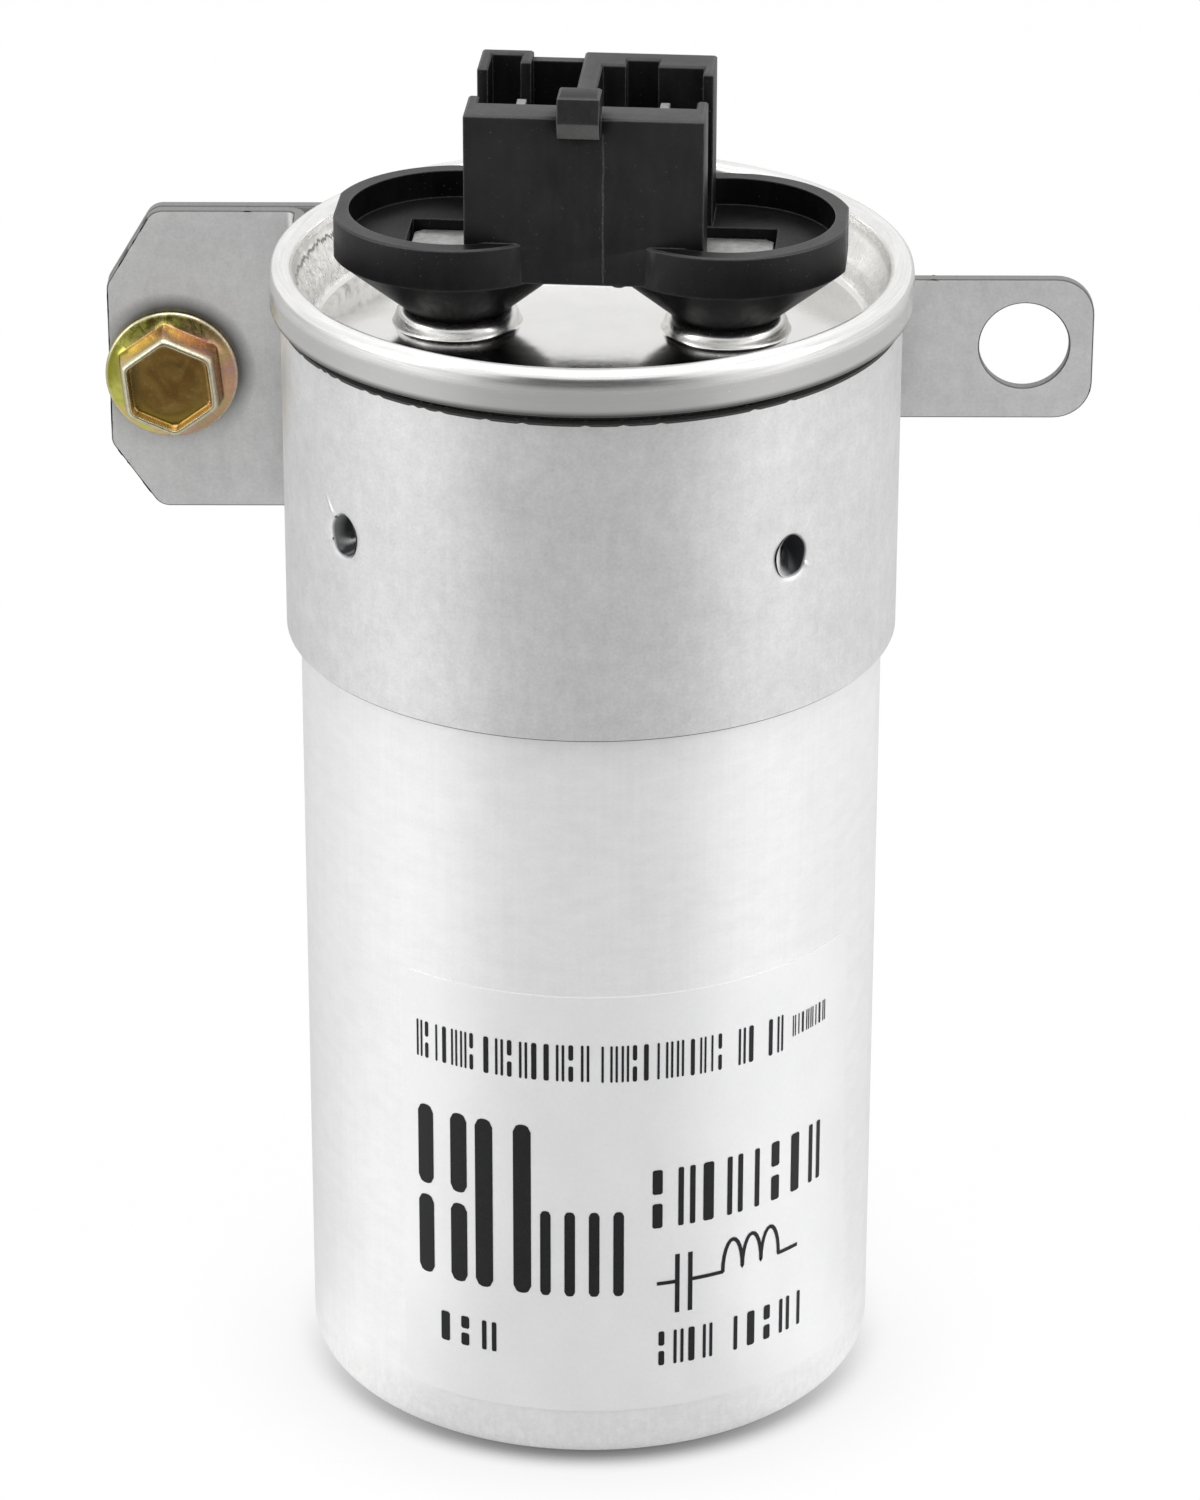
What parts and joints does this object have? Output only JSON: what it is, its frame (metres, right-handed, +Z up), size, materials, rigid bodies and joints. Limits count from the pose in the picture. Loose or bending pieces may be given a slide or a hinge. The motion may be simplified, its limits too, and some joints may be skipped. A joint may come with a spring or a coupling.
{
  "type": "motor run capacitor",
  "caption": "Round sealed capacitor with a keyed blade-terminal socket on its lid and a clamping strap that screws to a wall.",
  "frame": {"origin": "centre of the can's flat base", "axes": "+Z up along the can's axis, +Y to the wall behind the strap, +X from the screwed ear towards the tab with the hole"},
  "size_m": [0.0878, 0.0629, 0.1196],
  "materials": {
    "can_aluminium": "drawn, fine satin",
    "lid_aluminium": "bright",
    "black_moulding": "matte moulded",
    "tinned_blade": "tin plated",
    "strap_sheet": "zinc coated, satin",
    "yellow_zinc": "yellow zinc plated",
    "label_film": "silvery white film"
  },
  "bodies": {
    "root": {"can": "can_aluminium", "lid": "lid_aluminium", "terminal_housing": "black_moulding", "blade_left": "tinned_blade", "blade_right": "tinned_blade", "post_left": "tinned_blade", "post_right": "tinned_blade", "mounting_strap": "strap_sheet", "clamp_screw": "yellow_zinc", "label": "label_film"}
  },
  "joints": []
}
